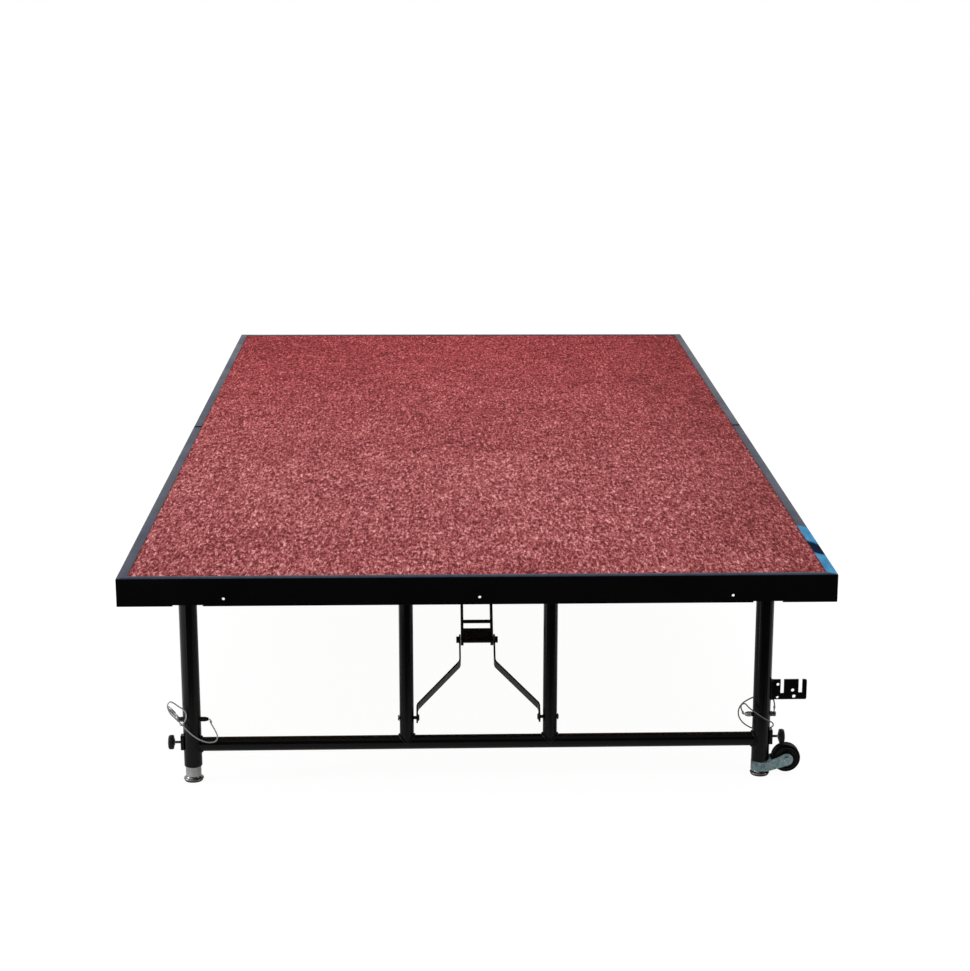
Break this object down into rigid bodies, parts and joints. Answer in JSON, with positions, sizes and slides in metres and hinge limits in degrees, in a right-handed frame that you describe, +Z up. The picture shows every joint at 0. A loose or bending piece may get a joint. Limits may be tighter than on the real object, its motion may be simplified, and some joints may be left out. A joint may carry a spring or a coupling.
{
  "type": "folding stage platform",
  "caption": "Carpeted rectangular stage deck on folding tubular leg frames with telescoping pinned legs, knee braces, lifting wheels and slotted link plates.",
  "frame": {"origin": "on the floor under the middle of the deck", "axes": "+Y along the deck's length towards the rear end, +X towards the side with the lifting wheels, +Z up"},
  "size_m": [1.2192, 2.4384, 0.4064],
  "materials": {
    "carpet": "tufted loop pile, red with dark and light flecks",
    "plywood": "raw",
    "rail_paint": "semi-gloss black",
    "black_steel": "gloss black powder coat",
    "zinc": "zinc plated",
    "chrome": "bright plated",
    "black_plastic": "moulded",
    "wheel_rubber": "satin",
    "wire": "wire rope"
  },
  "bodies": {
    "deck": {"deck_carpet": "carpet", "deck_panel_front": "plywood", "deck_panel_rear": "plywood", "end_rail_front": "rail_paint", "end_rail_rear": "rail_paint", "side_rail_left_front": "rail_paint", "side_rail_left_rear": "rail_paint", "side_rail_right_front": "rail_paint", "side_rail_right_rear": "rail_paint", "splice_plate_left": "black_steel", "splice_plate_right": "black_steel", "cross_member_centre": "black_steel", "hinge_member_front": "black_steel", "hinge_member_rear": "black_steel", "brace_member_front": "black_steel", "brace_member_rear": "black_steel"},
    "leg_frame_front": {"hinge_tube_front": "black_steel", "cross_tube_front": "black_steel", "link_plate_front": "black_steel", "outer_leg_front_left": "black_steel", "strut_front_left": "black_steel", "lanyard_front_left": "wire", "outer_leg_front_right": "black_steel", "strut_front_right": "black_steel", "lanyard_front_right": "wire"},
    "upper_brace_front": {"upper_brace_front": "black_steel"},
    "lower_arms_front": {"lower_arm_front_left": "black_steel", "lower_arm_front_right": "black_steel"},
    "inner_leg_front_left": {"inner_leg_front_left": "zinc", "foot_front_left": "chrome"},
    "height_pin_front_left": {"height_pin_front_left": "chrome"},
    "clamp_knob_front_left": {"clamp_knob_front_left": "black_plastic"},
    "inner_leg_front_right": {"inner_leg_front_right": "zinc", "foot_front_right": "chrome", "wheel_strap_front": "zinc"},
    "height_pin_front_right": {"height_pin_front_right": "chrome"},
    "clamp_knob_front_right": {"clamp_knob_front_right": "black_plastic"},
    "lift_wheel_front": {"lift_wheel_front": "wheel_rubber"},
    "leg_frame_rear": {"hinge_tube_rear": "black_steel", "cross_tube_rear": "black_steel", "link_plate_rear": "black_steel", "outer_leg_rear_left": "black_steel", "strut_rear_left": "black_steel", "lanyard_rear_left": "wire", "outer_leg_rear_right": "black_steel", "strut_rear_right": "black_steel", "lanyard_rear_right": "wire"},
    "upper_brace_rear": {"upper_brace_rear": "black_steel"},
    "lower_arms_rear": {"lower_arm_rear_left": "black_steel", "lower_arm_rear_right": "black_steel"},
    "inner_leg_rear_left": {"inner_leg_rear_left": "zinc", "foot_rear_left": "chrome"},
    "height_pin_rear_left": {"height_pin_rear_left": "chrome"},
    "clamp_knob_rear_left": {"clamp_knob_rear_left": "black_plastic"},
    "inner_leg_rear_right": {"inner_leg_rear_right": "zinc", "foot_rear_right": "chrome", "wheel_strap_rear": "zinc"},
    "height_pin_rear_right": {"height_pin_rear_right": "chrome"},
    "clamp_knob_rear_right": {"clamp_knob_rear_right": "black_plastic"},
    "lift_wheel_rear": {"lift_wheel_rear": "wheel_rubber"}
  },
  "joints": [
    {"name": "leg_fold_front", "type": "hinge", "parent": "deck", "child": "leg_frame_front", "pos_m": [0, -1.0992, 0.3514], "axis": [1, 0, 0], "range_deg": [0, 90]},
    {"name": "upper_brace_fold_front", "type": "hinge", "parent": "deck", "child": "upper_brace_front", "pos_m": [0, -0.7655, 0.3764], "axis": [1, 0, 0], "range_deg": [-37.2, 0]},
    {"name": "lower_arms_fold_front", "type": "hinge", "parent": "leg_frame_front", "child": "lower_arms_front", "pos_m": [0, -1.0992, 0.113], "axis": [1, 0, 0], "range_deg": [0, 44.79]},
    {"name": "leg_slide_front_left", "type": "slide", "parent": "leg_frame_front", "child": "inner_leg_front_left", "axis": [0, 0, -1], "range_m": [0, 0.2032]},
    {"name": "height_pin_pull_front_left", "type": "slide", "parent": "leg_frame_front", "child": "height_pin_front_left", "axis": [-1, 0, 0], "range_m": [0, 0.038]},
    {"name": "clamp_knob_turn_front_left", "type": "hinge", "parent": "leg_frame_front", "child": "clamp_knob_front_left", "pos_m": [-0.5365, -1.0992, 0.0715], "axis": [-1, 0, 0], "range_deg": [0, 360]},
    {"name": "leg_slide_front_right", "type": "slide", "parent": "leg_frame_front", "child": "inner_leg_front_right", "axis": [0, 0, -1], "range_m": [0, 0.2032]},
    {"name": "height_pin_pull_front_right", "type": "slide", "parent": "leg_frame_front", "child": "height_pin_front_right", "axis": [1, 0, 0], "range_m": [0, 0.038]},
    {"name": "clamp_knob_turn_front_right", "type": "hinge", "parent": "leg_frame_front", "child": "clamp_knob_front_right", "pos_m": [0.5365, -1.0992, 0.0715], "axis": [1, 0, 0], "range_deg": [0, 360]},
    {"name": "lift_wheel_spin_front", "type": "hinge", "parent": "inner_leg_front_right", "child": "lift_wheel_front", "pos_m": [0.5513, -1.0992, 0.0322], "axis": [0, 1, 0], "continuous": true},
    {"name": "leg_fold_rear", "type": "hinge", "parent": "deck", "child": "leg_frame_rear", "pos_m": [0, 1.0992, 0.3514], "axis": [-1, 0, 0], "range_deg": [0, 90]},
    {"name": "upper_brace_fold_rear", "type": "hinge", "parent": "deck", "child": "upper_brace_rear", "pos_m": [0, 0.7655, 0.3764], "axis": [-1, 0, 0], "range_deg": [-37.2, 0]},
    {"name": "lower_arms_fold_rear", "type": "hinge", "parent": "leg_frame_rear", "child": "lower_arms_rear", "pos_m": [0, 1.0992, 0.113], "axis": [-1, 0, 0], "range_deg": [0, 44.79]},
    {"name": "leg_slide_rear_left", "type": "slide", "parent": "leg_frame_rear", "child": "inner_leg_rear_left", "axis": [0, 0, -1], "range_m": [0, 0.2032]},
    {"name": "height_pin_pull_rear_left", "type": "slide", "parent": "leg_frame_rear", "child": "height_pin_rear_left", "axis": [-1, 0, 0], "range_m": [0, 0.038]},
    {"name": "clamp_knob_turn_rear_left", "type": "hinge", "parent": "leg_frame_rear", "child": "clamp_knob_rear_left", "pos_m": [-0.5365, 1.0992, 0.0715], "axis": [-1, 0, 0], "range_deg": [0, 360]},
    {"name": "leg_slide_rear_right", "type": "slide", "parent": "leg_frame_rear", "child": "inner_leg_rear_right", "axis": [0, 0, -1], "range_m": [0, 0.2032]},
    {"name": "height_pin_pull_rear_right", "type": "slide", "parent": "leg_frame_rear", "child": "height_pin_rear_right", "axis": [1, 0, 0], "range_m": [0, 0.038]},
    {"name": "clamp_knob_turn_rear_right", "type": "hinge", "parent": "leg_frame_rear", "child": "clamp_knob_rear_right", "pos_m": [0.5365, 1.0992, 0.0715], "axis": [1, 0, 0], "range_deg": [0, 360]},
    {"name": "lift_wheel_spin_rear", "type": "hinge", "parent": "inner_leg_rear_right", "child": "lift_wheel_rear", "pos_m": [0.5513, 1.0992, 0.0322], "axis": [0, 1, 0], "continuous": true}
  ],
  "couplings": [
    {"joint": "upper_brace_fold_front", "follows": "leg_fold_front", "ratio": -0.41313},
    {"joint": "lower_arms_fold_front", "follows": "leg_fold_front", "ratio": 0.49749},
    {"joint": "upper_brace_fold_rear", "follows": "leg_fold_rear", "ratio": -0.41313},
    {"joint": "lower_arms_fold_rear", "follows": "leg_fold_rear", "ratio": 0.49749}
  ]
}
